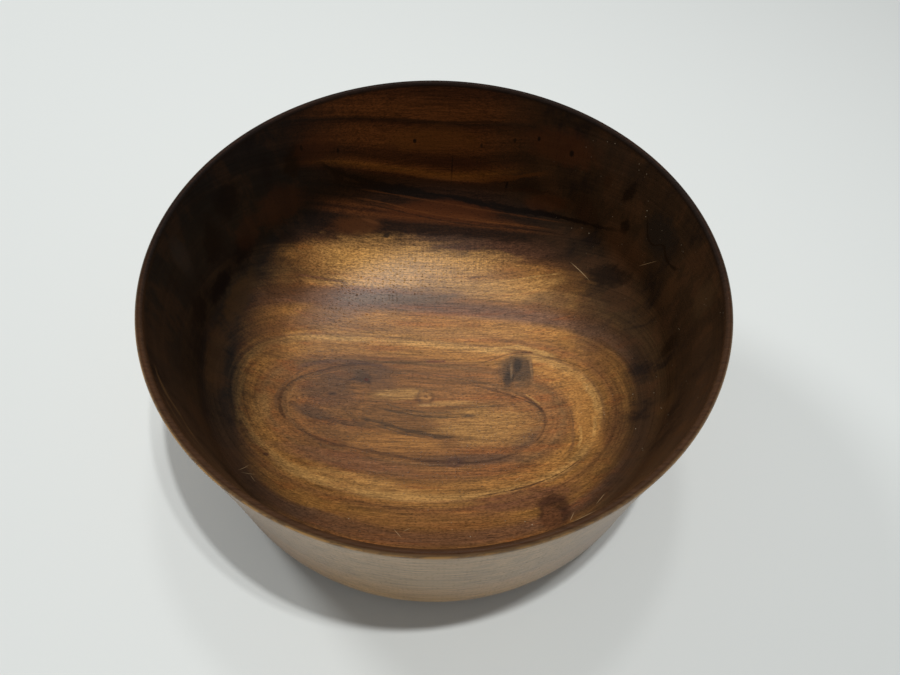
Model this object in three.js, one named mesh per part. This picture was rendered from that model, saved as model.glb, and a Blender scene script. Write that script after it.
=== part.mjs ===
// A deep wooden bowl, turned on a lathe from one blank: nearly straight sides, a thin rounded lip,
// a soft corner inside and out, and a low foot with a shallow recess.
// Units are millimetres. +Z is up, and the origin is the middle of the foot, on the surface it stands on.

import * as THREE from 'three';

// Overall size
const RIM_RADIUS = 150; // to the outermost edge of the lip
const HEIGHT = 128; // from the table to the top of the lip

// Lip and wall
const LIP_THICKNESS = 4; // its edge is a full half round
const WALL_THICKNESS = 7; // measured level, where the inner wall ends and the inside starts to curve
const BELLY_RADIUS = 143; // outside of the wall, at its bottom
const BELLY_HEIGHT = 18.5; // where the wall ends and the heel starts to turn in
const WALL_FLARE = 0.8; // how far the wall bows inwards from a straight line, so that it opens to the lip

// Heel, the outer corner between the wall and the foot
const UNDERSIDE_SLOPE = 12; // degrees that the underside climbs as it leaves the foot

// Foot and the recess inside it
const FOOT_RADIUS = 104;
const FOOT_HEIGHT = 3;
const FOOT_COVE = 2; // radius of the hollow where the foot meets the underside
const FOOT_EDGE = 0.8; // radius of the foot's eased outer edge
const RECESS_RADIUS = 91;
const RECESS_DEPTH = 2.5;
const RECESS_COVE = 2; // radius of the recess's corner

// Inside
const FLOOR_HEIGHT = 14; // top of the floor at the middle, above the table
const CORNER_TOP = 60; // height at which the inner wall ends and the inside starts to curve
const WALL_PULL = 0.65; // how strongly the curve keeps to the wall at first, 0 to 1
const FLOOR_PULL = 0.57; // how strongly it keeps level as it reaches the middle, 0 to 1

// Fineness of the surface
const TURN_STEPS = 80; // facets round the bowl
const SMALL_STEPS = 3; // along each eased edge and cove
const HEEL_STEPS = 8;
const WALL_STEPS = 5;
const LIP_STEPS = 6;
const FLOOR_STEPS = 16; // from the wall down to the middle of the floor

// Finish: dark hardwood under satin oil
const WOOD_BROWN = 0x6b4426;
const WOOD_ROUGHNESS = 0.35;

// Sizes that follow
const LIP_RADIUS = LIP_THICKNESS / 2;
const LIP_BASE = HEIGHT - LIP_RADIUS; // height at which the half round starts
const CORNER_SHARE = (CORNER_TOP - BELLY_HEIGHT) / (LIP_BASE - BELLY_HEIGHT); // how far up the outer wall that is
const ROUND = 0.5523; // handle length of a Bezier quarter that passes for a quarter circle

// A point of the profile: its distance from the axis and its height
const at = (radius, height) => new THREE.Vector2(radius, height);

// Wall line between two points, bowed towards the axis in the middle
function wallCurve(from, to) {
  const middle = from.clone().add(to).multiplyScalar(0.5);
  middle.x -= 2 * WALL_FLARE;
  return new THREE.QuadraticBezierCurve(from, middle, to);
}

// Outer wall, from the belly up to the lip
function outerWall() {
  return wallCurve(at(BELLY_RADIUS, BELLY_HEIGHT), at(RIM_RADIUS, LIP_BASE));
}

// Rounded corner that leaves and reaches its ends in the given directions
function cornerCurve(from, leaving, to, reaching) {
  const across = Math.abs(to.x - from.x);
  const up = Math.abs(to.y - from.y);
  const first = leaving.clone().normalize().multiplyScalar(ROUND * across);
  const second = reaching.clone().normalize().multiplyScalar(ROUND * up);
  return new THREE.CubicBezierCurve(from, from.clone().add(first), to.clone().sub(second), to);
}

// Recess, foot ring and the cove above it, from the axis outwards
function footCurves() {
  const recessTop = at(0, RECESS_DEPTH);
  const recessEdge = at(RECESS_RADIUS - RECESS_COVE, RECESS_DEPTH);
  const ringInside = at(RECESS_RADIUS, RECESS_DEPTH - RECESS_COVE);
  const ringInsideFoot = at(RECESS_RADIUS, 0);
  const ringOutside = at(FOOT_RADIUS - FOOT_EDGE, 0);
  const footSide = at(FOOT_RADIUS, FOOT_EDGE);
  const coveStart = at(FOOT_RADIUS, FOOT_HEIGHT - FOOT_COVE);
  const coveEnd = at(FOOT_RADIUS + FOOT_COVE, FOOT_HEIGHT);
  return [
    [new THREE.LineCurve(recessTop, recessEdge), 1],
    [new THREE.QuadraticBezierCurve(recessEdge, at(RECESS_RADIUS, RECESS_DEPTH), ringInside), SMALL_STEPS],
    [new THREE.LineCurve(ringInside, ringInsideFoot), 1],
    [new THREE.LineCurve(ringInsideFoot, ringOutside), 1],
    [new THREE.QuadraticBezierCurve(ringOutside, at(FOOT_RADIUS, 0), footSide), SMALL_STEPS],
    [new THREE.LineCurve(footSide, coveStart), 1],
    [new THREE.QuadraticBezierCurve(coveStart, at(FOOT_RADIUS, FOOT_HEIGHT), coveEnd), SMALL_STEPS],
  ];
}

// Heel and outer wall, from the foot up to the lip
function outsideCurves() {
  const wall = outerWall();
  const slope = THREE.MathUtils.degToRad(UNDERSIDE_SLOPE);
  const leaving = at(Math.cos(slope), Math.sin(slope));
  const heel = cornerCurve(at(FOOT_RADIUS + FOOT_COVE, FOOT_HEIGHT), leaving, wall.v0, wall.getTangent(0));
  return [
    [heel, HEEL_STEPS],
    [wall, WALL_STEPS],
  ];
}

// Half round over the lip, from the outside to the inside
function lipCurves() {
  const half = new THREE.EllipseCurve(RIM_RADIUS - LIP_RADIUS, LIP_BASE, LIP_RADIUS, LIP_RADIUS, 0, Math.PI);
  return [[half, LIP_STEPS]];
}

// Inner wall from the lip down, then one curve that makes the rounded corner and the dished floor
function insideCurves() {
  const corner = at(outerWall().getPoint(CORNER_SHARE).x - WALL_THICKNESS, CORNER_TOP);
  const middle = at(0, FLOOR_HEIGHT);
  const wall = wallCurve(at(RIM_RADIUS - LIP_THICKNESS, LIP_BASE), corner);
  const down = wall.getTangent(1).multiplyScalar(WALL_PULL * (CORNER_TOP - FLOOR_HEIGHT));
  const level = at(FLOOR_PULL * corner.x, FLOOR_HEIGHT);
  const floor = new THREE.CubicBezierCurve(corner, corner.clone().add(down), level, middle);
  return [
    [wall, WALL_STEPS],
    [floor, FLOOR_STEPS],
  ];
}

// The whole profile as one line of points that starts and ends on the axis
function profilePoints() {
  const curves = [...footCurves(), ...outsideCurves(), ...lipCurves(), ...insideCurves()];
  const points = [at(0, RECESS_DEPTH)];
  for (const [curve, steps] of curves) {
    points.push(...curve.getPoints(steps).slice(1));
  }
  return points;
}

// The bowl: the profile turned once round the axis, stood upright
function makeBowl() {
  const wood = new THREE.MeshStandardMaterial({ color: WOOD_BROWN, roughness: WOOD_ROUGHNESS, metalness: 0 });
  const bowl = new THREE.Mesh(new THREE.LatheGeometry(profilePoints(), TURN_STEPS), wood);
  bowl.name = 'bowl';
  bowl.rotation.x = Math.PI / 2; // the lathe's own axis is Y
  return bowl;
}

const object = new THREE.Group();
object.add(makeBowl());

export default object;
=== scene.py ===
# %% [markdown]
# # A turned wooden bowl
#
# This lesson dresses a plain CAD bowl as the real one: a deep bowl, 300 mm across and 128 mm high, turned on a
# lathe from one blank of dark figured hardwood and rubbed with a satin oil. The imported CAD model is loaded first
# and stays as it is. Everything made here is in metres, in the same place as the CAD.

import math

import bpy
from mathutils import Matrix, Vector
from mathutils.geometry import interpolate_bezier


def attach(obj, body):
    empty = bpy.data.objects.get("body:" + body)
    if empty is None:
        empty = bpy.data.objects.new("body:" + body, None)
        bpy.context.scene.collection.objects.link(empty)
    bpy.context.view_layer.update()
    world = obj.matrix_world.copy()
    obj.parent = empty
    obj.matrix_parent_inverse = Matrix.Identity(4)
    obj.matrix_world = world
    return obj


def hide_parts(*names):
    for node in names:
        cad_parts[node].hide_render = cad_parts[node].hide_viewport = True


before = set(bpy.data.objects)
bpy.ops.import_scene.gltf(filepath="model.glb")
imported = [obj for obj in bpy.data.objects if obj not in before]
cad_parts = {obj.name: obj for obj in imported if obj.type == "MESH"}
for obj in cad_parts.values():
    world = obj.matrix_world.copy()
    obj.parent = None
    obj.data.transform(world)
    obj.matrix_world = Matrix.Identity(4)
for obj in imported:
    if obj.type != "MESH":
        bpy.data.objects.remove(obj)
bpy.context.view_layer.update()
bpy.ops.object.select_all(action="DESELECT")
print("CAD nodes:", sorted(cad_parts))

# %% [markdown]
# ## The sizes
#
# A turned bowl is one closed line swept round an axis. These are the sizes of that line, in metres: heights are
# above the table and radii are from the axis. They are the CAD model's own, so the finer bowl fits it exactly.

# %% Sizes of the profile
RIM_RADIUS = 0.150
HEIGHT = 0.128
LIP_THICKNESS = 0.004
WALL_THICKNESS = 0.007
BELLY_RADIUS = 0.143
BELLY_HEIGHT = 0.0185
WALL_FLARE = 0.0008
UNDERSIDE_SLOPE = math.radians(12)
FOOT_RADIUS = 0.104
FOOT_HEIGHT = 0.003
FOOT_COVE = 0.002
FOOT_EDGE = 0.0008
RECESS_RADIUS = 0.091
RECESS_DEPTH = 0.0025
RECESS_COVE = 0.002
FLOOR_HEIGHT = 0.014
CORNER_TOP = 0.060
WALL_PULL = 0.65
FLOOR_PULL = 0.57
ROUND = 0.5523  # handle length at which a Bezier quarter passes for a quarter circle

lip_radius = LIP_THICKNESS / 2
lip_base = HEIGHT - lip_radius
print(f"wall {1000 * WALL_THICKNESS:.1f} mm thick low down, {1000 * LIP_THICKNESS:.1f} mm at the lip")


# %% [markdown]
# ## The profile
#
# On the lathe a gouge follows this line. Straight runs need only their ends. Each curve is a Bezier with two
# handles, and its points are spaced closely where it bends tightly, because the eye finds a faceted lip at once.


# %% Helpers for points of the profile
def at(radius, height):
    return Vector((radius, 0, height))


def curve(start, handle, other_handle, end, steps):
    """Points along a Bezier curve, without its first point."""
    return interpolate_bezier(start, handle, other_handle, end, steps + 1)[1:]


def eased(start, corner, end, steps):
    """Points round a corner, from start to end."""
    return curve(start, start.lerp(corner, ROUND), end.lerp(corner, ROUND), end, steps)


def wall_line(start, end, steps):
    """Points along a wall that bows slightly towards the axis."""
    middle = (start + end) / 2 - at(2 * WALL_FLARE, 0)
    return curve(start, start.lerp(middle, 2 / 3), end.lerp(middle, 2 / 3), end, steps)


# %% Foot, heel and outer wall
belly = at(BELLY_RADIUS, BELLY_HEIGHT)
rim = at(RIM_RADIUS, lip_base)
cove_end = at(FOOT_RADIUS + FOOT_COVE, FOOT_HEIGHT)
profile = [at(0, RECESS_DEPTH), at(RECESS_RADIUS - RECESS_COVE, RECESS_DEPTH)]
profile += eased(profile[-1], at(RECESS_RADIUS, RECESS_DEPTH), at(RECESS_RADIUS, RECESS_DEPTH - RECESS_COVE), 5)
profile += [at(RECESS_RADIUS, 0), at(FOOT_RADIUS - FOOT_EDGE, 0)]
profile += eased(profile[-1], at(FOOT_RADIUS, 0), at(FOOT_RADIUS, FOOT_EDGE), 4)
profile += [at(FOOT_RADIUS, FOOT_HEIGHT - FOOT_COVE)]
profile += eased(profile[-1], at(FOOT_RADIUS, FOOT_HEIGHT), cove_end, 5)
leaving = at(math.cos(UNDERSIDE_SLOPE), math.sin(UNDERSIDE_SLOPE)) * ROUND * (BELLY_RADIUS - cove_end.x)
reaching = (rim - belly - at(4 * WALL_FLARE, 0)).normalized() * ROUND * (BELLY_HEIGHT - FOOT_HEIGHT)
profile += curve(cove_end, cove_end + leaving, belly - reaching, belly, 16)
profile += wall_line(belly, rim, 18)
print(len(profile), "points up to the lip")

# %% Lip, inner wall, corner and floor
LIP_STEPS = 14
lip_centre = at(RIM_RADIUS - lip_radius, lip_base)
for step in range(1, LIP_STEPS + 1):
    turn = math.pi * step / LIP_STEPS
    profile.append(lip_centre + at(math.cos(turn), math.sin(turn)) * lip_radius)
lip_end = len(profile) - 1
share = (CORNER_TOP - BELLY_HEIGHT) / (lip_base - BELLY_HEIGHT)
outside = belly.lerp(rim, share).x - 4 * WALL_FLARE * share * (1 - share)
corner = at(outside - WALL_THICKNESS, CORNER_TOP)
down = (corner - profile[-1] + at(4 * WALL_FLARE, 0)).normalized() * WALL_PULL * (CORNER_TOP - FLOOR_HEIGHT)
profile += wall_line(profile[-1], corner, 18)
profile += curve(corner, corner + down, at(FLOOR_PULL * corner.x, FLOOR_HEIGHT), at(0, FLOOR_HEIGHT), 40)
print(len(profile), "points in the whole profile")

# %% [markdown]
# ## Turning the bowl
#
# The bowl starts as a single point on the axis, extruded along the profile and then spun round it, as the lathe
# spins the blank past the gouge. A cylinder with a hollow cut in it would also do, but every rounding would then
# need a bevel of its own. Spinning leaves its first and last column on top of each other, and a stack of points
# at each pole, so doubles are merged before the normals are turned outwards.

# %% Extrude the profile
bpy.ops.mesh.primitive_plane_add(size=0.01, location=(0, 0, 0))
bowl = bpy.context.object
bowl.name = "turned_bowl"
bpy.ops.object.mode_set(mode="EDIT")
bpy.ops.mesh.select_all(action="SELECT")
bpy.ops.mesh.merge(type="CENTER")
bpy.ops.transform.translate(value=profile[0])
for start, end in zip(profile, profile[1:]):
    bpy.ops.mesh.extrude_region_move(TRANSFORM_OT_translate={"value": end - start})
print("one edge for each of", len(profile) - 1, "steps of the profile")

# %% Spin it and close the seam
TURN_STEPS = 240
bpy.ops.mesh.select_all(action="SELECT")
bpy.ops.mesh.spin(steps=TURN_STEPS, angle=2 * math.pi, center=(0, 0, 0), axis=(0, 0, 1))
bpy.ops.mesh.select_all(action="SELECT")
bpy.ops.mesh.remove_doubles(threshold=0.00001)
bpy.ops.mesh.normals_make_consistent(inside=False)
bpy.ops.object.mode_set(mode="OBJECT")
bpy.ops.object.shade_smooth_by_angle(angle=math.radians(35))
print(len(bowl.data.polygons), "faces; size in mm:", [round(1000 * v, 1) for v in bowl.dimensions])

# %% The new bowl stands for the CAD one
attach(bowl, "root")
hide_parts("bowl")
print(bowl.name, "stands for the CAD node and wears the slot wood")

# %% [markdown]
# ## Tools for building the wood
#
# Solid wood has its figure all through, so the material works out a colour for every place in space instead of
# wrapping a picture round the bowl. It is a long chain of small sums, and these helpers make one node each. All
# places are in millimetres, which suits the size of grain, pores and knots.
#
# Each node is made after the ones that feed it. Cycles works through the nodes in the order in which they were made
# and has room for only so many unfinished values, and a bowl with too many of them renders black.

# %% A new material
wood = bpy.data.materials.new("oiled_figured_hardwood")
wood.use_nodes = True
nodes = wood.node_tree.nodes
links = wood.node_tree.links
shader = nodes["Principled BSDF"]
bowl.data.materials.append(wood)
print(bowl.name, "is made of", wood.name)


# %% Sums and soft steps
def feed(socket, value):
    """Puts a number, a colour or another node's result into a socket."""
    if isinstance(value, bpy.types.NodeSocket):
        links.new(value, socket)
    else:
        socket.default_value = value


def calc(operation, first, second=0.0, third=0.0):
    """One sum, such as MULTIPLY, of up to three values."""
    node = nodes.new("ShaderNodeMath")
    node.operation = operation
    for socket, value in zip(node.inputs, (first, second, third)):
        feed(socket, value)
    return node.outputs[0]


def vector_calc(operation, first, second=(0, 0, 0)):
    """One sum of two places, or the length of the first."""
    node = nodes.new("ShaderNodeVectorMath")
    node.operation = operation
    feed(node.inputs[0], first)
    feed(node.inputs[1], second)
    return node.outputs["Value" if operation == "LENGTH" else "Vector"]


def rise(value, low, high, start=0.0, end=1.0):
    """Goes softly from start to end while the value goes from low to high."""
    node = nodes.new("ShaderNodeMapRange")
    node.interpolation_type = "SMOOTHSTEP"
    node.clamp = False  # a smooth step never leaves its two ends, so it needs no clamping
    for socket, number in zip(node.inputs, (value, low, high, start, end)):
        feed(socket, number)
    return node.outputs[0]


def share_of_way(value, low, high):
    """Goes evenly from 0 to 1 while the value goes from low to high."""
    return calc("DIVIDE", calc("SUBTRACT", value, low), high - low)


# %% Noise
def stretched(amounts):
    """The place in mm, multiplied by an amount along each axis."""
    node = nodes.new("ShaderNodeMapping")
    node.inputs["Scale"].default_value = amounts
    links.new(place, node.inputs["Vector"])
    return node.outputs["Vector"]


def mottle(amounts, detail=2.0, roughness=0.5, layer=None):
    """Cloudy noise from 0 to 1. Each amount is the number of clouds to a mm along that axis."""
    where = stretched(amounts)
    node = nodes.new("ShaderNodeTexNoise")
    links.new(where, node.inputs["Vector"])
    if layer is not None:
        node.noise_dimensions = "4D"
        feed(node.inputs["W"], layer)
    feed(node.inputs["Scale"], 1.0)
    feed(node.inputs["Detail"], detail)
    feed(node.inputs["Roughness"], roughness)
    return node.outputs["Fac"]


# %% Colours
def paint(red, green, blue):
    """A colour as read off a screen, 0 to 255, turned into the linear values that a shader takes."""
    channels = [c / 255 for c in (red, green, blue)]
    return (*[c / 12.92 if c <= 0.04045 else ((c + 0.055) / 1.055) ** 2.4 for c in channels], 1.0)


def glaze(base, colour, amount):
    """Covers a colour with another one by an amount from 0 to 1."""
    node = nodes.new("ShaderNodeMix")
    node.data_type = "RGBA"
    feed(node.inputs["Factor"], amount)
    feed(node.inputs["A"], base)
    feed(node.inputs["B"], colour)
    return node.outputs["Result"]


# %% [markdown]
# ## Growth rings
#
# A tree lays down a shell of wood each year round its pith, the line up the middle of the trunk. This blank was
# cut lengthwise beside the pith, which runs left to right below the bowl and dips towards both ends. So the floor
# just grazes the shells and shows closed ovals, while the upright back wall cuts through them and shows U shapes.
# The distance from the pith, which is the ring a place belongs to, is the main value of this material.

# %% Place in millimetres
coordinates = nodes.new("ShaderNodeTexCoord")
to_millimetres = nodes.new("ShaderNodeMapping")
to_millimetres.inputs["Scale"].default_value = (1000, 1000, 1000)
links.new(coordinates.outputs["Object"], to_millimetres.inputs["Vector"])
place = to_millimetres.outputs["Vector"]
split = nodes.new("ShaderNodeSeparateXYZ")
links.new(place, split.inputs[0])
x, y, z = split.outputs
print("places are read in mm:", to_millimetres.inputs["Scale"].default_value[:])

# %% The pith bends as a shallow arch along X
ARCH_TOP = 9.65  # how far left of the axis the arch is highest
ARCH_REACH = 90  # how far from there the pith has bent by the two values below
BEND_Y, BEND_Z = 1.04, -6.37
LEAN_Y, LEAN_Z = -0.065, -0.042  # how the pith leans, in mm for each mm along X
PITH_Y, PITH_Z = -35.8, -0.45  # where it passes the axis
FLATTENING = 1.429  # the shells are wider than they are high by this

along = calc("MULTIPLY", calc("ADD", x, ARCH_TOP), 1 / ARCH_REACH)
arch = calc("MULTIPLY", along, along)
pith_y = calc("MULTIPLY_ADD", arch, BEND_Y, calc("MULTIPLY_ADD", x, LEAN_Y, PITH_Y))
pith_z = calc("MULTIPLY_ADD", arch, BEND_Z, calc("MULTIPLY_ADD", x, LEAN_Z, PITH_Z))
across = calc("SUBTRACT", y, pith_y)
up = calc("MULTIPLY", calc("SUBTRACT", z, pith_z), FLATTENING)
true_ring = calc("SQRT", calc("MULTIPLY_ADD", across, across, calc("MULTIPLY", up, up)))


def ring_at(spot):
    """The same distance from the pith, for one known place."""
    bend = ((spot[0] + ARCH_TOP) / ARCH_REACH) ** 2
    spot_across = spot[1] - (bend * BEND_Y + LEAN_Y * spot[0] + PITH_Y)
    spot_up = FLATTENING * (spot[2] - (bend * BEND_Z + LEAN_Z * spot[0] + PITH_Z))
    return math.hypot(spot_across, spot_up)


print("ring distance at the middle of the floor:", round(ring_at((0, 0, 14)), 1))

# %% Growth is never even: the shells ripple, more so further out
ripple = mottle((0.009, 0.022, 0.022), 2.0, 0.45)
ripple_height = calc("MULTIPLY", true_ring, 0.035)
ring = calc("MULTIPLY_ADD", calc("SUBTRACT", ripple, 0.5), ripple_height, true_ring)
spread = calc("ADD", rise(ring, 150, 170, 0, 10), rise(ring, 172, 199, 0, -19))
ring = calc("MULTIPLY_ADD", rise(x, -5, 90), spread, ring)
print(len(nodes), "nodes up to the rings")

# %% [markdown]
# ## Colour bands
#
# Rings differ in colour by how and when they grew: honey and amber in wide years, plum where minerals came in,
# then dark heartwood with one ring almost black. Two colour ramps hold the bands from the pith outwards, one for
# the pale wood that the floor shows and one for the dark wood of the walls. Thin lines need two stops close
# together, or they blur into their neighbours.

# %% The wood's own colours
STRAW = paint(196, 148, 84)
HONEY = paint(190, 140, 78)
AMBER = paint(172, 119, 60)
TAN = paint(146, 98, 54)
CHESTNUT = paint(106, 68, 38)
PLUM = paint(122, 86, 62)
SMOKE = paint(92, 66, 48)
OLIVE = paint(116, 82, 46)
RUST = paint(150, 84, 38)
UMBER = paint(66, 41, 24)
RUSSET = paint(60, 32, 15)
BROWN = paint(86, 48, 21)
COFFEE = paint(42, 24, 12)
INK = paint(20, 12, 7)
SOOT = paint(8, 8, 10)
print("honey in linear values:", [round(c, 3) for c in HONEY[:3]])

# %% Bands from the pith outwards, by ring distance in mm
FLOOR_BANDS = [
    (20, TAN), (33, TAN), (38.6, TAN), (39.8, paint(132, 93, 56)), (41.2, TAN), (45, TAN), (47, paint(140, 99, 58)),
    (49, TAN), (53, AMBER), (58, AMBER), (60.8, HONEY), (62.6, HONEY), (64.0, paint(152, 108, 62)), (66, AMBER),
    (70, TAN), (76, AMBER), (83, AMBER), (88, PLUM), (94, PLUM), (99, TAN), (104, HONEY), (112, HONEY),
    (116, AMBER), (123, AMBER), (130, AMBER), (134, CHESTNUT), (138, UMBER),
]
WALL_BANDS = [
    (128, AMBER), (133, CHESTNUT), (139, UMBER), (146, COFFEE), (156, COFFEE), (160, BROWN), (162, RUSSET),
    (165, BROWN), (170, COFFEE), (174, COFFEE), (177, INK), (181, COFFEE), (187, COFFEE), (190, RUSSET),
    (194, paint(112, 68, 26)), (197, BROWN), (201, RUSSET), (205, RUSSET), (210, BROWN), (220, BROWN),
    (226, RUSSET), (228.5, COFFEE), (231, BROWN), (238, BROWN), (250, RUSSET),
]


def bands(value, stops, low, high):
    """A colour ramp whose stops are given by ring distance."""
    position = share_of_way(value, low, high)
    ramp = nodes.new("ShaderNodeValToRGB")
    feed(ramp.inputs[0], position)
    while len(ramp.color_ramp.elements) < len(stops):
        ramp.color_ramp.elements.new(1.0)
    for element, (distance, tone) in zip(ramp.color_ramp.elements, stops):
        element.position = (distance - low) / (high - low)
        element.color = tone
    return ramp.outputs[0]


pale_wood = bands(ring, FLOOR_BANDS, 20, 140)
dark_wood = bands(ring, WALL_BANDS, 125, 255)
print(len(FLOOR_BANDS) + len(WALL_BANDS), "colour bands")

# %% The pale wood drifts between rusty and olive
drift = mottle((0.014, 0.17, 0.17), 3.0, 0.6)
pale_wood = glaze(pale_wood, RUST, rise(drift, 0.48, 0.70, 0.0, 0.5))
pale_wood = glaze(pale_wood, OLIVE, rise(drift, 0.46, 0.28, 0.0, 0.35))
colour = glaze(pale_wood, dark_wood, rise(ring, 129, 133))
print(len(nodes), "nodes with the bands")


# %% Fine rings, long fibres and clouds
def lighten(base, amount):
    """Multiplies a colour's brightness by a number."""
    node = nodes.new("ShaderNodeHueSaturation")
    feed(node.inputs["Color"], base)
    feed(node.inputs["Value"], amount)
    return node.outputs["Color"]


year = mottle((0.008, 0.014, 0.014), 4.0, 0.68, calc("MULTIPLY", ring, 0.55))
fibre = mottle((0.035, 0.75, 0.75), 4.0, 0.7)
streaks = mottle((0.018, 0.34, 0.34), 3.0, 0.62)
speckle = mottle((0.50, 1.15, 1.15), 2.0, 0.65)
hairs = mottle((0.022, 1.7, 1.7), 2.0, 0.6)
cloud = mottle((0.012, 0.035, 0.035), 4.0, 0.6)
colour = lighten(colour, rise(year, 0.28, 0.72, 0.74, 1.18))
colour = lighten(colour, rise(streaks, 0.30, 0.52, 0.70, 1.02))
colour = lighten(colour, rise(cloud, 0.25, 0.75, 0.86, 1.10))
print(len(nodes), "nodes with the fine rings")

# %% Darker towards the front of the floor: partly the wood's own tone, partly painted shade
colour = lighten(colour, rise(y, -110, 40, 0.66, 1.08))
print(len(nodes), "nodes with the front darkened")

# %% [markdown]
# ## Knots, stains and streaks
#
# A knot is the root of a branch, and minerals stain the wood round it grey, olive or plum. Each mark here has its
# own place, size and turn, as it has on the real bowl. A mark is an ellipsoid in space with a ragged edge, so it
# goes some way into the wood and shows wherever the surface cuts it. Its colour lets the fibres show through.

# %% A soft mark, made from a ball that fades from 1 at its middle to 0 well outside the mark's edge
BALL_REACH = 3
ragged = mottle((0.05, 0.2, 0.2), 5.0, 0.68)
wander = calc("MULTIPLY", calc("SUBTRACT", ragged, 0.5), 1.3)
streaky = rise(fibre, 0.25, 0.7, 0.62, 1.15)


def mark(centre, radii, turn, soft=0.4, ragged_by=1.0):
    """1 inside an ellipsoid, fading to 0 outside. The turn is its tilt about its own X, then its turn about Z."""
    node = nodes.new("ShaderNodeMapping")
    node.vector_type = "TEXTURE"
    node.inputs["Location"].default_value = centre
    node.inputs["Rotation"].default_value = (math.radians(turn[0]), 0, math.radians(turn[1]))
    node.inputs["Scale"].default_value = [BALL_REACH * r for r in radii]
    links.new(place, node.inputs["Vector"])
    ball = nodes.new("ShaderNodeTexGradient")
    ball.gradient_type = "SPHERICAL"
    links.new(node.outputs[0], ball.inputs["Vector"])
    inwards = calc("MULTIPLY_ADD", wander, -ragged_by / BALL_REACH, ball.outputs["Fac"])
    return rise(inwards, 1 - (1 + soft) / BALL_REACH, 1 - (1 - soft) / BALL_REACH)


print("a mark's ball is", BALL_REACH, "times as large as the mark")

# %% Stains on the floor: place, size, turn, colour and strength
STAINS = [
    ((-52, 57, 20), (66, 8, 14), 5, PLUM, 0.85),
    ((-70, 44, 22), (34, 8, 14), 22, PLUM, 0.7),
    ((-28, 57, 19), (40, 4, 14), 3, paint(112, 92, 72), 0.6),
    ((76, 52, 25), (17, 8, 14), -8, SMOKE, 0.6),
    ((46, 94, 27), (62, 7, 14), -8, paint(96, 62, 42), 0.7),
    ((4, 102, 28), (30, 5, 12), -2, SMOKE, 0.5),
    ((103, 32, 32), (12, 24, 20), -12, SMOKE, 0.7),
    ((95, 45, 30), (12, 16, 20), 20, CHESTNUT, 0.5),
    ((-110, 28, 34), (14, 26, 20), 10, CHESTNUT, 0.7),
    ((-52, -1, 16), (25, 9, 14), 8, SMOKE, 0.6),
    ((-34, -9, 15), (9, 12, 14), 0, SMOKE, 0.45),
    ((-68, -17, 18), (17, 11, 14), -8, SMOKE, 0.6),
    ((-76, -32, 21), (14, 4, 14), -12, SMOKE, 0.8),
    ((-28, -37, 16), (50, 8, 14), -5, OLIVE, 0.35),
    ((6, -30, 15), (28, 4, 14), -1, OLIVE, 0.5),
    ((-24, -16, 15), (18, 4, 14), 4, STRAW, 0.55),
    ((8, -22, 15), (16, 2.2, 14), 2, STRAW, 0.35),
    ((22, -62, 18), (30, 4, 14), 2, SMOKE, 0.75),
    ((55, -49, 19), (10, 5, 14), 40, SMOKE, 0.6),
    ((-56, -64, 23), (44, 5, 14), -8, paint(124, 82, 56), 0.5),
    ((-66, -103, 33), (34, 5, 14), -8, SMOKE, 0.8),
    ((52, -90, 28), (34, 7, 14), 8, paint(98, 62, 42), 0.75),
    ((0, -107, 30), (74, 10, 16), 0, CHESTNUT, 0.6),
    ((-52, -78, 26), (40, 6, 14), -8, STRAW, 0.3),
    ((-84, 76, 31), (18, 13, 16), 10, paint(108, 70, 36), 0.75),
    ((-104, 60, 36), (18, 16, 14), 20, paint(80, 50, 26), 0.8),
    ((44, 80, 24), (28, 9, 14), -5, TAN, 0.5),
    ((86, 68, 30), (16, 12, 14), -20, CHESTNUT, 0.55),
    ((104, 4, 28), (8, 14, 14), 0, CHESTNUT, 0.5),
    ((-24, -50, 17), (30, 7, 14), -4, AMBER, 0.5),
    ((92, -34, 27), (7, 30, 14), 8, AMBER, 0.75),
    ((106, -48, 31), (7, 16, 16), -10, CHESTNUT, 0.6),
    ((-48, 88, 27), (52, 15, 14), 4, HONEY, 0.6),
    ((50, 68, 23), (48, 4, 14), -3, HONEY, 0.7),
    ((-12, 84, 26), (56, 12, 14), 0, paint(214, 160, 86), 0.65),
    ((32, -38, 17), (30, 13, 14), 0, paint(168, 122, 66), 0.75),
    ((-8, 30, 17), (80, 5, 14), 0, HONEY, 0.35),
]
for centre, radii, turn, tone, strength in STAINS:
    amount = calc("MULTIPLY", calc("MULTIPLY", mark(centre, radii, (0, turn)), streaky), strength)
    colour = glaze(colour, tone, calc("MINIMUM", amount, 1.0))
print(len(STAINS), "stains")

# %% The right-hand knot, a grey patch that ends in a straight edge
KNOT_PATCHES = [
    ((54, 1, 17), (12.5, 11.5, 12), paint(110, 80, 50)),
    ((53.5, 2, 17), (11, 10, 12), paint(78, 58, 40)),
]
straight_edge = rise(x, 64.0, 62.4)
for centre, radii, tone in KNOT_PATCHES:
    amount = calc("MULTIPLY", mark(centre, radii, (0, 0), 0.45, 1.0), calc("MULTIPLY", straight_edge, 0.8))
    colour = glaze(colour, tone, amount)
print(len(KNOT_PATCHES), "patches in the right-hand knot")

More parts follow.
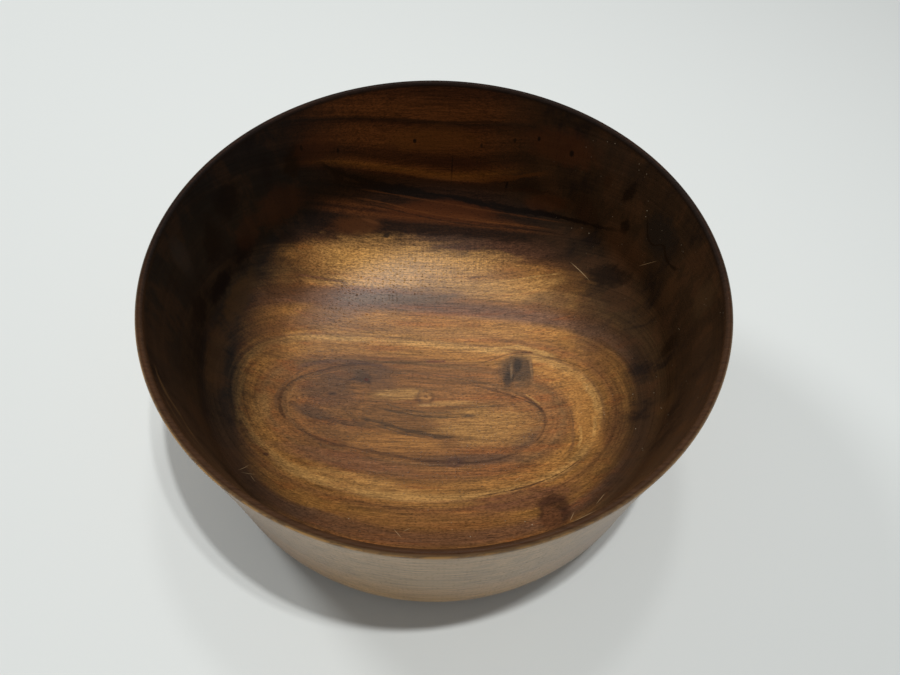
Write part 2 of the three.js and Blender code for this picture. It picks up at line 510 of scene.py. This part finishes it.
# %% Knots and thin dark lines: place, size, turn, colour, strength, softness and raggedness
FINE_MARKS = [
    ((47, -5, 17), (3.4, 6, 12), -20, paint(58, 44, 32), 0.85, 0.4, 0.9),
    ((53.5, 5, 17), (2.6, 5, 12), -6, paint(52, 40, 29), 0.85, 0.4, 0.7),
    ((49.3, 2, 17), (0.8, 7, 12), -3, paint(128, 98, 66), 0.7, 0.5, 0.6),
    ((62, 3, 18), (0.7, 8, 12), 2, paint(150, 112, 72), 0.6, 0.5, 0.5),
    ((-47, -4.5, 16), (6.2, 4.2, 12), -12, paint(80, 58, 42), 0.8, 0.4, 0.8),
    ((-50, -1.5, 16), (3.6, 2.2, 12), -12, paint(104, 78, 56), 0.5, 0.6, 1.2),
    ((-44, -7, 16), (3.6, 1.3, 12), -50, paint(58, 40, 30), 0.7, 0.5, 1.0),
    ((-54, -6.5, 16), (3.0, 0.8, 12), 20, paint(62, 42, 32), 0.7, 0.5, 1.0),
    ((-45, -6, 16), (1.3, 1.0, 12), 0, paint(104, 48, 28), 0.7, 0.5, 0.4),
    ((-65, -18, 18), (3.0, 1.6, 12), 0, paint(84, 60, 44), 0.8, 0.5, 0.8),
    ((-7, -18, 14.4), (6.0, 5.0, 12), 0, paint(104, 68, 38), 0.75, 0.3, 0.5),
    ((-6.5, -17.5, 14.4), (3.8, 3.0, 12), 0, paint(168, 118, 66), 0.85, 0.4, 0.6),
    ((-6.5, -17, 14.4), (1.3, 1.0, 12), 0, paint(112, 74, 42), 0.7, 0.5, 0.5),
    ((-7, -23.5, 14.4), (4.0, 0.9, 12), 0, paint(190, 146, 92), 0.4, 0.5, 0.8),
    ((12, -63.5, 18.5), (5.4, 3.6, 12), 0, paint(84, 56, 42), 0.85, 0.4, 0.8),
    ((11, -64, 18.5), (2.2, 1.4, 12), 0, paint(118, 84, 56), 0.6, 0.5, 0.8),
    ((21, -31, 15), (4, 1.2, 12), -3, paint(78, 58, 40), 0.7, 0.5, 0.8),
    ((-97, -66, 33), (1.6, 1.2, 12), 0, paint(70, 40, 26), 0.8, 0.4, 0.4),
    ((-105, -35, 33), (5, 12, 16), 0, HONEY, 0.4, 0.4, 0.8),
    ((66, -99, 34), (9, 12, 16), 0, paint(56, 33, 22), 0.85, 0.25, 0.5),
    ((64, -105, 34), (5.5, 9.5, 16), 0, paint(96, 60, 36), 0.8, 0.25, 0.6),
]
for centre, radii, turn, tone, strength, soft, ragged_by in FINE_MARKS:
    amount = mark(centre, radii, (0, turn), soft, ragged_by)
    colour = glaze(colour, tone, calc("MULTIPLY", amount, strength))
print(len(FINE_MARKS), "fine marks")

# %% [markdown]
# ## Drawn lines
#
# Some lines are too long and wayward for marks. A Float Curve node draws each of them: it gives the line's place
# sideways for every place along it, and the colour changes where the surface lies within the line's width. On the
# floor the lines run along X or along Y. On the wall they run round the bowl, by direction in degrees, and follow
# the ring shells, so that they stay equally thick where they climb.

# %% A line through a few points
uneven = rise(mottle((0.10, 0.10, 0.10), 4.0, 0.6), 0.3, 0.7, 0.3, 1.5)


def drawn_line(along, sideways, points, width):
    """1 on a line through the points, fading to 0 beside it and at both ends."""
    first, last = points[0][0], points[-1][0]
    low, high = min(p[1] for p in points), max(p[1] for p in points)
    position = share_of_way(along, first, last)
    node = nodes.new("ShaderNodeFloatCurve")
    feed(node.inputs["Value"], position)
    stops = node.mapping.curves[0].points
    while len(stops) < len(points):
        stops.new(1.0, 1.0)
    for stop, point in zip(stops, points):
        stop.location = ((point[0] - first) / (last - first), (point[1] - low) / (high - low))
    node.mapping.update()
    line = calc("MULTIPLY_ADD", node.outputs[0], high - low, low)
    gap = calc("DIVIDE", calc("ABSOLUTE", calc("SUBTRACT", sideways, line)), calc("MULTIPLY", uneven, width))
    fade = (last - first) * 0.12
    ends = calc("MULTIPLY", rise(along, first, first + fade), rise(along, last, last - fade))
    return calc("MULTIPLY", rise(gap, 0.35, 1.25, 1.0, 0.0), ends)


print(len(nodes), "nodes before the first line")

# %% Lines on the floor: points, half width, colour and strength
LINES_ALONG_X = [
    ([(-94, -33), (-90, -39), (-80, -46.4), (-64.5, -52.4), (-46.4, -56), (-28, -59), (-10, -62), (5, -63.6),
      (26, -63.6), (44, -60), (57, -54), (63, -48)], 1.3, UMBER, 0.6),
    ([(-92, -14), (-82.7, -6), (-72, -1), (-62, 3), (-48, 6)], 1.1, UMBER, 0.6),
    ([(-90, -14), (-80, -8), (-70, -3.5), (-60, 0)], 0.9, TAN, 0.6),
    ([(22, -8), (38, -13), (49, -17.6), (58, -22), (64, -27)], 1.0, UMBER, 0.6),
    ([(18, 4), (30, 8), (40, 11.5), (50, 14.5), (58, 15), (66, 13.5), (75, 10), (85, 5), (101, -6)], 0.6, RUSSET, 0.5),
    ([(28, 16), (40, 18.5), (52, 19.5), (60, 17.5), (70, 13.5), (80, 9)], 2.2, STRAW, 0.7),
    ([(22, -87), (40, -84), (50, -82), (60, -79), (70, -75), (78, -70.5), (88, -63)], 0.7, UMBER, 0.8),
    ([(-50, -34), (-36, -36.5), (-24, -40), (-12, -43), (0, -45.5), (14, -46.5)], 1.7, paint(70, 52, 34), 0.7),
    ([(-44, -37), (-30, -41), (-16, -45), (-2, -47)], 0.8, paint(74, 54, 36), 0.6),
    ([(-84, -32), (-70, -36), (-56, -38), (-40, -38)], 2.4, paint(86, 62, 42), 0.6),
    ([(-38, -26), (-20, -29.5), (-8, -31.5), (5, -32), (24, -31.5)], 0.9, paint(74, 56, 38), 0.7),
    ([(8, -23), (22, -25), (34, -24.5), (48, -25.5)], 0.8, paint(88, 66, 44), 0.6),
    ([(-34, -22), (-18, -27), (-4, -29), (12, -28)], 0.7, paint(92, 70, 46), 0.6),
    ([(-7, 8.8), (0, 9.4), (7, 8.6)], 1.2, paint(112, 62, 44), 0.7),
    ([(-92, -4), (-75, 4), (-60, 7), (-45, 6), (-30, 3)], 1.8, paint(96, 68, 54), 0.6),
    ([(-28, 3), (-5, -1), (15, -6), (35, -11), (52, -15)], 0.9, paint(116, 80, 48), 0.7),
    ([(-10, 1), (10, -1), (30, -4), (42, -4)], 0.8, paint(118, 84, 54), 0.6),
    ([(56, -18), (60, -21.5), (64, -26), (68, -30.5)], 1.0, UMBER, 0.6),
    ([(57, -16.5), (61, -20), (66, -25)], 0.8, HONEY, 0.7),
    ([(-96, -68), (-80, -76), (-60, -82), (-40, -86), (-20, -89), (5, -90)], 1.3, STRAW, 0.3),
    ([(18, 74), (40, 76), (65, 77), (88, 74)], 0.5, paint(130, 86, 48), 0.7),
    ([(30, 68), (50, 71), (75, 72), (88, 70)], 0.7, STRAW, 0.7),
    ([(-96, 65), (-80, 67), (-60, 66)], 0.9, paint(110, 70, 48), 0.7),
    ([(-90, 20), (-50, 24), (-10, 24), (25, 21)], 1.8, STRAW, 0.5),
]
LINES_ALONG_Y = [
    ([(-42, -88), (-37, -92.5), (-31, -95), (-23.6, -95.8), (-15, -92.5), (-9, -87)], 1.3, UMBER, 0.6),
    ([(-53, 58), (-46.4, 64.5), (-41, 67), (-35.8, 68), (-28, 65.4), (-21, 58)], 1.3, UMBER, 0.5),
    ([(-40, -85), (-34, -89.5), (-28, -91), (-20, -90), (-13, -85)], 1.6, paint(160, 112, 64), 0.5),
    ([(-34, -96.5), (-25, -98), (-15, -95), (-8, -90), (0, -81)], 1.1, paint(110, 76, 48), 0.7),
    ([(-62, 76), (-55, 82), (-45, 83.5), (-35, 84), (-26, 82)], 1.3, paint(112, 76, 44), 0.7),
    ([(-58, 84), (-50, 87.5), (-42, 88)], 1.5, STRAW, 0.5),
    ([(-34, 98), (-25, 98.5), (-18, 96), (-10, 93.5)], 1.5, STRAW, 0.5),
    ([(-52, 94), (-42, 96.5), (-36, 97.5)], 1.2, STRAW, 0.5),
    ([(-54, -112), (-40, -117), (-28, -118), (-12, -117)], 1.1, STRAW, 0.5),
]
for points, width, tone, strength in LINES_ALONG_X:
    colour = glaze(colour, tone, calc("MULTIPLY", drawn_line(x, y, points, width), strength))
for points, width, tone, strength in LINES_ALONG_Y:
    colour = glaze(colour, tone, calc("MULTIPLY", drawn_line(y, x, points, width), strength))
print(len(LINES_ALONG_X) + len(LINES_ALONG_Y), "lines on the floor")


# %% [markdown]
# ## Grain
#
# Fibres, hairlines and speckle lie over the bands, stains and knots alike, so they come after them. Each is a noise
# that is stretched along X, the way the wood grew, and it only makes the colour a little lighter or darker.

# %% Fibres and hairlines
colour = lighten(colour, rise(fibre, 0.25, 0.75, 0.74, 1.26))
colour = lighten(colour, rise(hairs, 0.36, 0.56, 0.74, 1.08))
print(len(nodes), "nodes with the fibres")

# %% Speckled grain, strongest in the golden wood at the back of the floor
def near(centre, reach):
    """1 about a place on the floor, fading out at the given reaches along X and Y."""
    any_height = 1000  # so large a reach that height hardly counts
    offset = vector_calc("DIVIDE", vector_calc("SUBTRACT", place, (*centre, 0)), (*reach, any_height))
    return rise(vector_calc("LENGTH", offset), 0.5, 1.5, 1.0, 0.0)


golden = near((-20, 84), (88, 26))
coarse = calc("MULTIPLY_ADD", golden, 0.6, rise(cloud, 0.40, 0.62, 0.5, 0.85))
colour = lighten(colour, calc("MULTIPLY_ADD", coarse, rise(speckle, 0.36, 0.60, -0.32, 0.20), 1.0))
sanding = mottle((1.1, 0.09, 0.09), 1.0)
brushed = near((5, 92), (62, 20))
colour = lighten(colour, calc("MULTIPLY_ADD", brushed, rise(sanding, 0.30, 0.66, -0.16, 0.07), 1.0))
print(len(nodes), "nodes with the speckle")

# %% [markdown]
# ## End grain
#
# The grain runs left to right, so the left and right walls are cut across it. There the open ends of the fibres
# drink more oil and turn nearly black. The outside sees more light and handling and has stayed paler. Towards the rim
# it is paler still, partly from that fading and partly as a painted reflection of the pale table. Its ends still show
# the rings as wide arcs.

# %% Which way the surface faces
facing = nodes.new("ShaderNodeSeparateXYZ")
links.new(coordinates.outputs["Normal"], facing.inputs[0])
outwards = calc("MULTIPLY_ADD", facing.outputs[0], x, calc("MULTIPLY", facing.outputs[1], y))
outside = rise(outwards, 30, 90)
lopsided = rise(y, 0, 45, 0.0, -0.09)  # at the back the dark starts lower on the right than on the left
end_grain = rise(calc("ABSOLUTE", calc("ADD", facing.outputs[0], lopsided)), 0.22, 0.64)
print(len(nodes), "nodes before the end grain")

# %% Faded wood outside, oiled end grain inside
FADED_WOOD = paint(206, 168, 116)
OILED_LEFT = paint(20, 20, 19)
OILED_RIGHT = paint(46, 32, 20)
OILED_FRONT = paint(64, 46, 34)
OILED_OUTSIDE = paint(92, 58, 32)
# paler towards the rim: partly faded wood, partly a painted reflection of the pale table
fade_and_painted_sheen = calc("MULTIPLY", outside, rise(z, 15, 110, 0.8, 1.1))
uneven_fade = calc("MULTIPLY", rise(fibre, 0.3, 0.7, 0.5, 0.9), rise(streaks, 0.3, 0.6, 0.6, 1.0))
even_fade = calc("MULTIPLY", calc("SUBTRACT", 0.72, uneven_fade), calc("MULTIPLY", end_grain, 0.75))
faded = calc("MULTIPLY", fade_and_painted_sheen, calc("ADD", uneven_fade, even_fade))
colour = glaze(colour, FADED_WOOD, faded)
darkened = calc("MULTIPLY", end_grain, rise(outside, 0, 1, 0.97, 0.5))
oiled_end = glaze(OILED_LEFT, OILED_RIGHT, rise(x, -60, 60))
oiled_end = glaze(oiled_end, OILED_FRONT, rise(y, -20, -100, 0.0, 0.7))
oiled_end = glaze(oiled_end, OILED_OUTSIDE, outside)
colour = glaze(colour, oiled_end, darkened)
print(len(nodes), "nodes with the end grain")

# %% Uneven oil: brown and black patches on the end grain, and its rings
BROWN_PATCH = paint(68, 44, 26)
BLACK_PATCH = paint(15, 13, 14)
patch = mottle((0.030, 0.050, 0.020), 5.0, 0.66)
inside_end = calc("MULTIPLY", end_grain, rise(outside, 0, 1, 1.0, 0.0))
browner_right = calc("MULTIPLY", inside_end, rise(x, -60, 60, 0.40, 1.0))
browner = calc("MULTIPLY", browner_right, rise(patch, 0.50, 0.62, 0.0, 0.7))
colour = glaze(colour, BROWN_PATCH, calc("MULTIPLY", browner, rise(fibre, 0.3, 0.65, 0.5, 1.0)))
blacker = calc("MULTIPLY", calc("MULTIPLY", inside_end, inside_end), rise(patch, 0.50, 0.34, 0.0, 0.7))
colour = glaze(colour, BLACK_PATCH, blacker)
colour = lighten(colour, calc("MULTIPLY_ADD", end_grain, rise(year, 0.3, 0.7, -0.20, 0.20), 1.0))
print(len(nodes), "nodes with the uneven oil")

# %% [markdown]
# ## Figure on the wall
#
# The inner wall has its own black streak, knots, small bark pits and grey patches. They are made as on the floor,
# but they come after the end grain, because they show through it.

# %% Marks on the wall: direction, height, half width and half height in mm, tilt, colour and strength
def wall_place(azimuth, height):
    """A place on the inner wall in mm, by the direction from the axis and the height above the table."""
    inner = [(1000 * p.z, 1000 * p.x) for p in profile[lip_end:]]
    below = max((q for q in inner if q[0] <= height), key=lambda q: q[0])
    above = min((q for q in inner if q[0] > height), key=lambda q: q[0])
    share = (height - below[0]) / (above[0] - below[0])
    radius = below[1] + share * (above[1] - below[1])
    turn = math.radians(azimuth)
    return radius * math.cos(turn), radius * math.sin(turn), height


WALL_MARKS = [
    (164, 46, 22, 6, 0, paint(62, 42, 22), 0.6),
    (-176, 48, 24, 7, 0, paint(62, 42, 24), 0.5),
    (86, 70, 26, 4, 0, paint(52, 26, 14), 0.6),
    (56, 102, 26, 12, -10, paint(86, 44, 20), 0.4),
    (88, 38, 42, 5, 0, paint(84, 42, 16), 0.6),
    (56, 57, 18, 6, -20, paint(74, 37, 14), 0.45),
    (92, 88, 34, 9, 0, paint(92, 54, 20), 0.5),
    (104, 80, 7, 7, 0, RUSSET, 0.5),
    (119, 72, 4, 7, 20, INK, 0.7),
    (131, 96, 6, 10, 15, INK, 0.8),
    (152, 102, 9, 13, 20, SOOT, 0.85),
    (154, 64, 9, 9, 25, SOOT, 0.85),
    (140, 47, 9, 5, 32, INK, 0.5),
    (118, 37, 18, 5, 15, paint(86, 48, 20), 0.6),
    (113, 37, 6, 0.8, 20, paint(104, 62, 32), 0.4),
    (44, 66, 9, 12, -38, COFFEE, 0.6),
    (34, 100, 3, 9, 12, INK, 0.9),
    (41, 97, 3, 5, 0, COFFEE, 0.6),
    (31, 78, 4, 5, -8, INK, 0.97),
    (20, 96, 14, 15, -10, paint(26, 23, 20), 0.85),
    (28, 62, 20, 14, -20, paint(70, 42, 22), 0.35),
    (8, 78, 6, 14, 0, paint(70, 46, 26), 0.5),
    (-3, 109, 8, 16, 0, paint(66, 49, 31), 0.5),
    (-3, 61, 4, 15, 4, INK, 0.7),
    (-14, 101, 12, 12, 0, paint(62, 43, 28), 0.4),
    (-20, 62, 5, 16, 0, paint(74, 52, 30), 0.4),
    (162, 90, 8, 12, 20, SOOT, 0.9),
    (166, 62, 12, 7, 10, SOOT, 0.9),
    (177, 72, 10, 10, -10, SOOT, 0.85),
    (172, 106, 6, 14, 0, paint(46, 40, 36), 0.5),
    (138, 72, 18, 14, 20, paint(66, 34, 18), 0.35),
    (150, 72, 10, 12, 10, paint(60, 32, 18), 0.35),
    (124, 98, 14, 12, 0, paint(70, 34, 14), 0.35),
    (42, 114, 20, 11, 0, paint(44, 34, 26), 0.35),
    (28, 43, 20, 6, -35, INK, 0.7),
    (109.2, 30.8, 2.2, 0.7, 0, INK, 0.85),
    (69.4, 57, 0.8, 4.5, 3, INK, 0.95),
    (86, 60, 0.6, 15, 1, INK, 0.6),
    (53, 101, 1.5, 2.2, 0, INK, 0.97),
    (62.6, 101.6, 1.0, 1.7, 0, INK, 0.95),
    (69, 95, 0.9, 1.6, 0, INK, 0.8),
    (96.6, 87, 1.2, 1.7, 0, INK, 0.95),
    (118, 91, 1.0, 1.8, 0, INK, 0.95),
    (127.6, 102.6, 1.0, 2.2, 0, INK, 0.8),
    (78, 86, 0.8, 2, 0, INK, 0.7),
    (19.5, 73, 0.14, 9, 33, paint(180, 150, 108), 0.6),
]
for azimuth, height, wide, high, tilt, tone, strength in WALL_MARKS:
    is_fine = high < 3 or wide < 1
    ragged_by = 0.3 if is_fine else 1.6 if tone in (INK, SOOT) else 1.0
    # the wall curves away under wide and low marks, so they go deeper into it
    deep = (3 if height > 60 else 8) + wide * wide / 200
    amount = mark(wall_place(azimuth, height), (deep, wide, high), (tilt, azimuth), 0.4, ragged_by)
    colour = glaze(colour, tone, calc("MULTIPLY", amount, strength))
print(len(WALL_MARKS), "marks on the wall")

# %% Lines on the wall: direction and height of each point, half width, colour and strength
direction = calc("MULTIPLY", calc("ARCTAN2", y, x), math.degrees(1))
WALL_LINES = [
    ([(44, 45), (50, 42), (60, 37.5), (70, 34.5), (80, 33.4), (90, 34.2), (100, 37), (110, 43), (118, 50)],
     0.8, COFFEE, 0.7),
    ([(50, 43.5), (60, 39), (70, 36), (80, 35), (90, 35.8), (100, 39), (110, 45.5), (118, 53)],
     0.7, paint(104, 60, 26), 0.45),
    ([(46, 52), (56, 45), (66, 41.5), (76, 40), (88, 41), (98, 44), (108, 50), (116, 58)],
     0.8, paint(96, 54, 24), 0.4),
    ([(56, 82), (62, 74), (68, 66), (74, 60), (82, 57), (90, 57.5), (98, 61), (106, 67), (112, 75)],
     2.4, paint(104, 60, 22), 0.45),
    ([(52, 68), (62, 60), (70, 54), (78, 51.5), (88, 51.5), (96, 53.5), (104, 58), (112, 66)],
     2.4, COFFEE, 0.7),
    ([(73, 106), (78, 104), (84, 101.5), (90, 101), (98, 103), (104, 106)], 1.3, COFFEE, 0.75),
    ([(29, 80), (35, 68), (40, 61), (47, 54), (57, 47.5), (67, 43), (77, 42.8), (90, 45), (100, 48), (108, 53.5),
      (115, 61), (119, 69), (123, 79)], 2.0, INK, 0.97),
    ([(92, 47), (98, 48.5), (104, 51.5), (110, 58), (115, 66), (119, 74), (122, 82), (125, 90)], 3.4, INK, 0.97),
    ([(44, 58), (50, 52), (57, 48), (64, 45), (70, 44), (76, 44)], 2.6, INK, 0.9),
    ([(9, 99), (12, 91), (15, 90), (18, 93), (20.5, 87), (22, 86), (25, 93), (27, 101)], 1.8, INK, 0.9),
    ([(-157, 121), (-150, 117), (-146, 110), (-140, 107), (-134, 98), (-126, 90)], 2.6, paint(104, 78, 48), 0.5),
    ([(-150, 122), (-143, 119), (-136, 113), (-129, 106), (-122, 98)], 1.6, paint(104, 78, 48), 0.4),
]
on_wall = calc("MULTIPLY", rise(z, 26, 31), rise(outside, 0, 1, 1.0, 0.15))
for points, width, tone, strength in WALL_LINES:
    on_shells = [(azimuth, ring_at(wall_place(azimuth, height))) for azimuth, height in points]
    amount = calc("MULTIPLY", drawn_line(direction, true_ring, on_shells, width), on_wall)
    colour = glaze(colour, tone, calc("MULTIPLY", amount, strength))
print(len(WALL_LINES), "lines on the wall")

# %% Pores, open and filled, as short dashes along the grain
pore_place = stretched((0.40, 1.25, 1.25))
pore_cells = nodes.new("ShaderNodeTexVoronoi")
links.new(pore_place, pore_cells.inputs["Vector"])
feed(pore_cells.inputs["Scale"], 1.0)
pore_here = nodes.new("ShaderNodeSeparateColor")
links.new(pore_cells.outputs["Color"], pore_here.inputs[0])
pore_core = rise(pore_cells.outputs["Distance"], 0.12, 0.40, 1.0, 0.0)
pore = calc("MULTIPLY", pore_core, rise(pore_here.outputs[0], 0.30, 0.8))
colour = lighten(colour, calc("MULTIPLY_ADD", pore, -0.5, 1.0))
print("pores are up to", round(1 / 0.40, 1), "mm apart along the grain")

# %% [markdown]
# ## Signs of use
#
# A bowl in use has a few pale scratches where forks and knives have touched it, and crumbs of dust in the pores.
# Scratches are marks like the knots, only long and thin. An upright mark draws a line down the wall and a flat one
# draws a level line. Dust specks sit in the cells of a coarse Voronoi texture, and only some of the cells have one.

# %% Scratches: place, size, turn and strength
SCRATCH_PALE = paint(196, 166, 124)
SCRATCHES = [
    ((98, 70, 36), (8, 8, 0.13), 0, 0.5),
    ((-20, -110.5, 31.5), (3, 0.16, 5), -50, 0.4),
    ((-15, -108, 31), (2, 0.16, 5), 30, 0.3),
    ((-105, -79, 45), (4, 0.12, 5), 62, 0.4),
    ((-102, -82, 45), (3, 0.12, 5), 12, 0.35),
    ((-99, -84, 44), (2.4, 2.4, 0.12), 0, 0.3),
    ((78, -106, 46), (7, 0.18, 6), 22, 0.45),
    ((74, -104, 42), (3, 0.16, 5), 60, 0.4),
    ((90, -95, 46), (4, 0.16, 5), 48, 0.4),
    ((95, -16, 25), (2.4, 0.16, 5), 70, 0.35),
    ((48, -76, 22), (2.4, 0.16, 5), 35, 0.35),
]
for centre, radii, turn, strength in SCRATCHES:
    amount = mark(centre, radii, (0, turn), 0.5, 0.3)
    colour = glaze(colour, SCRATCH_PALE, calc("MULTIPLY", amount, strength))
print(len(SCRATCHES), "scratches")

# %% Dust specks on the right wall and in front
DUST_PALE = paint(200, 184, 156)
dust_place = stretched((0.30, 0.34, 0.27))
dust_cells = nodes.new("ShaderNodeTexVoronoi")
links.new(dust_place, dust_cells.inputs["Vector"])
feed(dust_cells.inputs["Scale"], 1.0)
dust_here = nodes.new("ShaderNodeSeparateColor")
links.new(dust_cells.outputs["Color"], dust_here.inputs[0])
speck = rise(dust_cells.outputs["Distance"], 0.03, 0.13, 1.0, 0.0)
dust = calc("MULTIPLY", speck, rise(dust_here.outputs[0], 0.45, 1.0))
dust = calc("MULTIPLY", dust, rise(cloud, 0.42, 0.60, 0.1, 1.0))
right_or_front = calc("MAXIMUM", rise(x, 60, 115), rise(y, -80, -108))
dusty = calc("MULTIPLY", right_or_front, rise(outside, 0, 1, 0.8, 0.0))
colour = glaze(colour, DUST_PALE, calc("MULTIPLY", dust, dusty))
print("dust specks are about", round(1 / 0.30, 1), "mm apart")

# %% The lip: nearly black at the back, brown in front, with a golden outer edge at the front left that is partly worn wood and partly a painted highlight
LIP_BLACK = paint(26, 19, 15)
LIP_BROWN = paint(62, 41, 25)
LIP_GOLD = paint(188, 142, 78)
radius = vector_calc("LENGTH", vector_calc("MULTIPLY", place, (1, 1, 0)))
in_front = rise(y, 20, -70)
on_lip = rise(z, 124.5, 126.5)
lip_tone = lighten(glaze(LIP_BLACK, LIP_BROWN, in_front), rise(fibre, 0.3, 0.7, 0.7, 1.3))
colour = glaze(colour, lip_tone, calc("MULTIPLY", on_lip, 0.85))
edge = calc("MULTIPLY", rise(radius, 149.1, 149.8), rise(z, 124.6, 125.8))
edge = calc("MULTIPLY", edge, rise(ragged, 0.38, 0.56, 0.15, 1.0))
# the golden outer edge is partly worn wood and partly a painted highlight along the rounded lip
worn_and_glint = calc("MULTIPLY", in_front, rise(x, 60, -60, 0.5, 1.0))
colour = glaze(colour, LIP_GOLD, calc("MULTIPLY", edge, rise(worn_and_glint, 0, 1, 0.05, 0.9)))
print(len(nodes), "nodes with the lip")

# %% [markdown]
# ## Gloss
#
# The oil leaves a satin skin that is brightest where hands and cloths have polished it: on the floor and the
# outside. Bare wood under it hardly shines. So the wood's own reflection is turned low and a coat does the
# shining, by an amount that is different on the floor, on the dull inner wall and on the outside.

# %% Put the colour, gloss and fine relief on the shader
links.new(colour, shader.inputs["Base Color"])
shader.inputs["Roughness"].default_value = 0.5
shader.inputs["Specular IOR Level"].default_value = 0.15
polish = calc("MAXIMUM", rise(z, 20, 31, 0.75, 0.06), calc("MULTIPLY", outside, 0.5))
links.new(calc("MULTIPLY", polish, rise(pore, 0, 1, 1.0, 0.5)), shader.inputs["Coat Weight"])
shader.inputs["Coat Roughness"].default_value = 0.28
relief = calc("SUBTRACT", calc("MULTIPLY", fibre, 0.35), pore)
bump = nodes.new("ShaderNodeBump")
bump.inputs["Strength"].default_value = 0.25
bump.inputs["Distance"].default_value = 0.0002
links.new(relief, bump.inputs["Height"])
links.new(bump.outputs[0], shader.inputs["Normal"])
links.new(bump.outputs[0], shader.inputs["Coat Normal"])
print(len(nodes), "nodes in the wood")

# %% [markdown]
# ## Table, light and camera
#
# The bowl stands on a plain pale table. Two small lamps hang above it, a little to the right and in front, so the
# shadow falls to the left and has two edges. A weaker one hangs behind it and a wide one far to the left, and the
# world fills in from all round. Only the lamp behind shows as a highlight, on the back of the floor. The camera
# stands where the photograph's did, worked out from the ellipse of the rim.

# %% Table
bpy.ops.mesh.primitive_plane_add(size=6, location=(0, 0, 0))
table = bpy.context.object
table.name = "table"
white_paint = bpy.data.materials.new("pale_table")
white_paint.use_nodes = True
table_shader = white_paint.node_tree.nodes["Principled BSDF"]
table_shader.inputs["Base Color"].default_value = paint(226, 230, 228)
table_shader.inputs["Roughness"].default_value = 0.6
table.data.materials.append(white_paint)
print("table", [round(v, 1) for v in table.dimensions[:2]], "m")

# %% Lamps and world
LAMPS = [
    ("lamp_over_bowl", (0.15, -0.11, 1.40), 0.04, 6.8),
    ("lamp_beside_it", (0.24, -0.10, 1.40), 0.04, 3.6),
    ("lamp_behind", (0.10, 0.45, 1.40), 0.16, 2.0),
    ("lamp_far_left", (-1.25, 1.00, 1.30), 0.50, 14.0),
]
for name, spot, size, watts in LAMPS:
    bpy.ops.object.light_add(type="AREA", location=spot)
    lamp = bpy.context.object
    lamp.name = name
    lamp.data.shape = "DISK"
    lamp.data.size = size
    lamp.data.energy = watts
    lamp.rotation_euler = Vector(spot).to_track_quat("Z", "Y").to_euler()
    lamp.visible_glossy = name == "lamp_behind"
world = bpy.data.worlds.new("soft_room")
world.use_nodes = True
sky = world.node_tree.nodes["Background"]
sky.inputs["Color"].default_value = (1, 1, 1, 1)
sky.inputs["Strength"].default_value = 0.22
bpy.context.scene.world = world
print(len(LAMPS), "lamps,", sum(lamp[3] for lamp in LAMPS), "W in all")

# %% Camera
CAMERA_PLACE = (0, -0.2233, 0.3968)
CAMERA_RIGHT = (0.9997, -0.0022, 0.0226)
CAMERA_BACK = (-0.0201, -0.5495, 0.8353)
camera_data = bpy.data.cameras.new("camera")
camera_data.sensor_width = 36
camera_data.lens = 27.04
camera = bpy.data.objects.new("camera", camera_data)
bpy.context.scene.collection.objects.link(camera)
right = Vector(CAMERA_RIGHT).normalized()
back = Vector(CAMERA_BACK).normalized()
top = back.cross(right).normalized()
camera.matrix_world = Matrix.Translation(CAMERA_PLACE) @ Matrix((right, top, back)).transposed().to_4x4()
bpy.context.scene.camera = camera
bpy.context.scene.view_settings.view_transform = "Standard"
print("camera", round(camera.matrix_world.translation.length, 3), "m from the foot")
